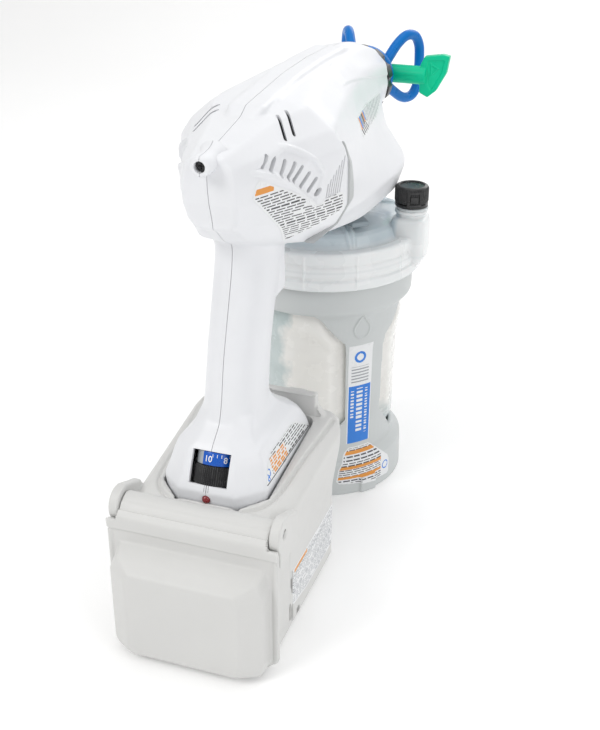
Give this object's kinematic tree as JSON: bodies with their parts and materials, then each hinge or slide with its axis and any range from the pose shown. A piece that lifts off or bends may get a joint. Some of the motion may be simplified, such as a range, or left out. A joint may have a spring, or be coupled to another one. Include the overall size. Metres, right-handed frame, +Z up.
{
  "type": "airless paint sprayer",
  "caption": "Hand-held battery airless paint sprayer: gun body on a battery case with hinged door, paint cup with vent, prime knob, and a tip guard with a reversible spray tip.",
  "frame": {"origin": "middle of the battery case underside, on the ground plane", "axes": "+Z up, +Y along the spray, +X to the operator's right"},
  "size_m": [0.1392, 0.391, 0.3066],
  "materials": {
    "shell": "moulded, satin",
    "case": "moulded, fine texture",
    "support": "moulded",
    "cover": "translucent polypropylene",
    "liner": "translucent film",
    "black": "moulded",
    "blue": "moulded",
    "scale": "printed ring",
    "green": "moulded",
    "lamp": "tinted lens",
    "steel": "turned",
    "alu": "cast and machined",
    "copper": "wound copper and brass",
    "rubber": "moulded",
    "board": "circuit board",
    "battery": "moulded",
    "wire": "insulated wire",
    "gearplastic": "moulded nylon"
  },
  "bodies": {
    "gun": {"right_shell": "shell", "left_shell": "shell", "shell_screws": "steel", "rear_screw": "black", "indicator_lens": "lamp", "case_right": "case", "case_left": "case", "hinge_pin": "steel", "battery_pack": "battery", "terminal_block": "black", "control_board": "board", "wire_harness": "wire", "trigger_pin": "steel", "trigger_spring": "steel", "trigger_switch": "black", "motor_can": "steel", "motor_magnets": "black", "motor_end_cap": "black", "motor_bearings": "copper", "gear_housing": "alu", "drive_bearing": "steel", "pump_housing": "alu", "piston_springs": "steel", "prime_valve": "steel", "outlet_valve": "steel", "outlet_fitting": "steel", "inlet_tube": "gearplastic", "inlet_strainer": "black"},
    "rotor_body": {"rotor": "steel", "cooling_fan": "black", "motor_pinion": "steel"},
    "drive_train": {"drive_gear": "gearplastic", "swash_shaft": "steel"},
    "trigger_body": {"trigger": "black"},
    "trigger_lock_body": {"trigger_lock": "blue"},
    "plunger": {"switch_plunger": "blue"},
    "dial": {"speed_dial": "black", "dial_scale": "scale"},
    "door": {"battery_door": "case", "door_gasket": "rubber"},
    "button": {"release_button": "blue"},
    "prime": {"prime_knob": "black"},
    "nut": {"retaining_nut": "black"},
    "guard": {"tip_guard": "blue", "tip_seal": "gearplastic"},
    "tip": {"switch_tip": "green"},
    "piston_1_body": {"piston_1": "steel"},
    "piston_2_body": {"piston_2": "steel"},
    "piston_3_body": {"piston_3": "steel"},
    "cup": {"cup_support": "support", "liner_bag": "liner", "cup_cover": "cover", "cover_gasket": "rubber", "vent_o_ring": "rubber"},
    "vent": {"vent_cap": "black"},
    "latch": {"cup_latch": "black"}
  },
  "joints": [
    {"name": "motor_spin", "type": "hinge", "parent": "gun", "child": "rotor_body", "pos_m": [0, 0.049, 0.262], "axis": [0, 1, 0], "continuous": true},
    {"name": "drive_spin", "type": "hinge", "parent": "gun", "child": "drive_train", "pos_m": [0, 0.088, 0.2428], "axis": [0, 1, 0], "continuous": true},
    {"name": "trigger_pull", "type": "hinge", "parent": "gun", "child": "trigger_body", "pos_m": [0, 0.052, 0.224], "axis": [-1, 0, 0], "range_deg": [0, 12], "stiffness_Nm_per_rad": 0.3},
    {"name": "switch_press", "type": "slide", "parent": "gun", "child": "plunger", "axis": [0, -1, 0], "range_m": [0, 0.006]},
    {"name": "trigger_lock_turn", "type": "hinge", "parent": "trigger_body", "child": "trigger_lock_body", "pos_m": [0, 0.059, 0.208], "axis": [0, 1, 0], "range_deg": [0, 90]},
    {"name": "dial_turn", "type": "hinge", "parent": "gun", "child": "dial", "pos_m": [0, -0.0263, 0.1034], "axis": [0, 0.3995, 0.9167], "range_deg": [0, 270]},
    {"name": "door_swing", "type": "hinge", "parent": "gun", "child": "door", "pos_m": [0, -0.0525, 0.088], "axis": [-1, 0, 0], "range_deg": [0, 110]},
    {"name": "button_press", "type": "slide", "parent": "gun", "child": "button", "axis": [0, 1, 0], "range_m": [0, 0.002], "stiffness_N_per_m": 400},
    {"name": "prime_turn", "type": "hinge", "parent": "gun", "child": "prime", "pos_m": [-0.05, 0.127, 0.244], "axis": [-1, 0, 0], "range_deg": [0, 90]},
    {"name": "nut_spin", "type": "hinge", "parent": "gun", "child": "nut", "pos_m": [0, 0.249, 0.268], "axis": [0, 1, 0], "continuous": true},
    {"name": "guard_turn", "type": "hinge", "parent": "gun", "child": "guard", "pos_m": [0, 0.264, 0.268], "axis": [0, 1, 0], "range_deg": [-90, 90]},
    {"name": "tip_turn", "type": "hinge", "parent": "guard", "child": "tip", "pos_m": [0, 0.271, 0.268], "axis": [1, 0, 0], "range_deg": [0, 180]},
    {"name": "piston_1_stroke", "type": "slide", "parent": "gun", "child": "piston_1_body", "axis": [0, 1, 0], "range_m": [0, 0.0025]},
    {"name": "piston_2_stroke", "type": "slide", "parent": "gun", "child": "piston_2_body", "axis": [0, 1, 0], "range_m": [0, 0.0025]},
    {"name": "piston_3_stroke", "type": "slide", "parent": "gun", "child": "piston_3_body", "axis": [0, 1, 0], "range_m": [0, 0.0025]},
    {"name": "cup_drop", "type": "slide", "parent": "gun", "child": "cup", "axis": [0, 0, -1], "range_m": [0, 0.165]},
    {"name": "vent_turn", "type": "hinge", "parent": "cup", "child": "vent", "pos_m": [0.0615, 0.168, 0.214], "axis": [0, 0, 1], "range_deg": [0, 90]},
    {"name": "latch_turn", "type": "hinge", "parent": "cup", "child": "latch", "pos_m": [0, 0.172, 0.202], "axis": [0, 0, -1], "range_deg": [0, 25]}
  ],
  "couplings": [
    {"joint": "drive_spin", "follows": "motor_spin", "ratio": -0.33333},
    {"joint": "switch_press", "follows": "trigger_pull", "m_per_rad": 0.023}
  ]
}
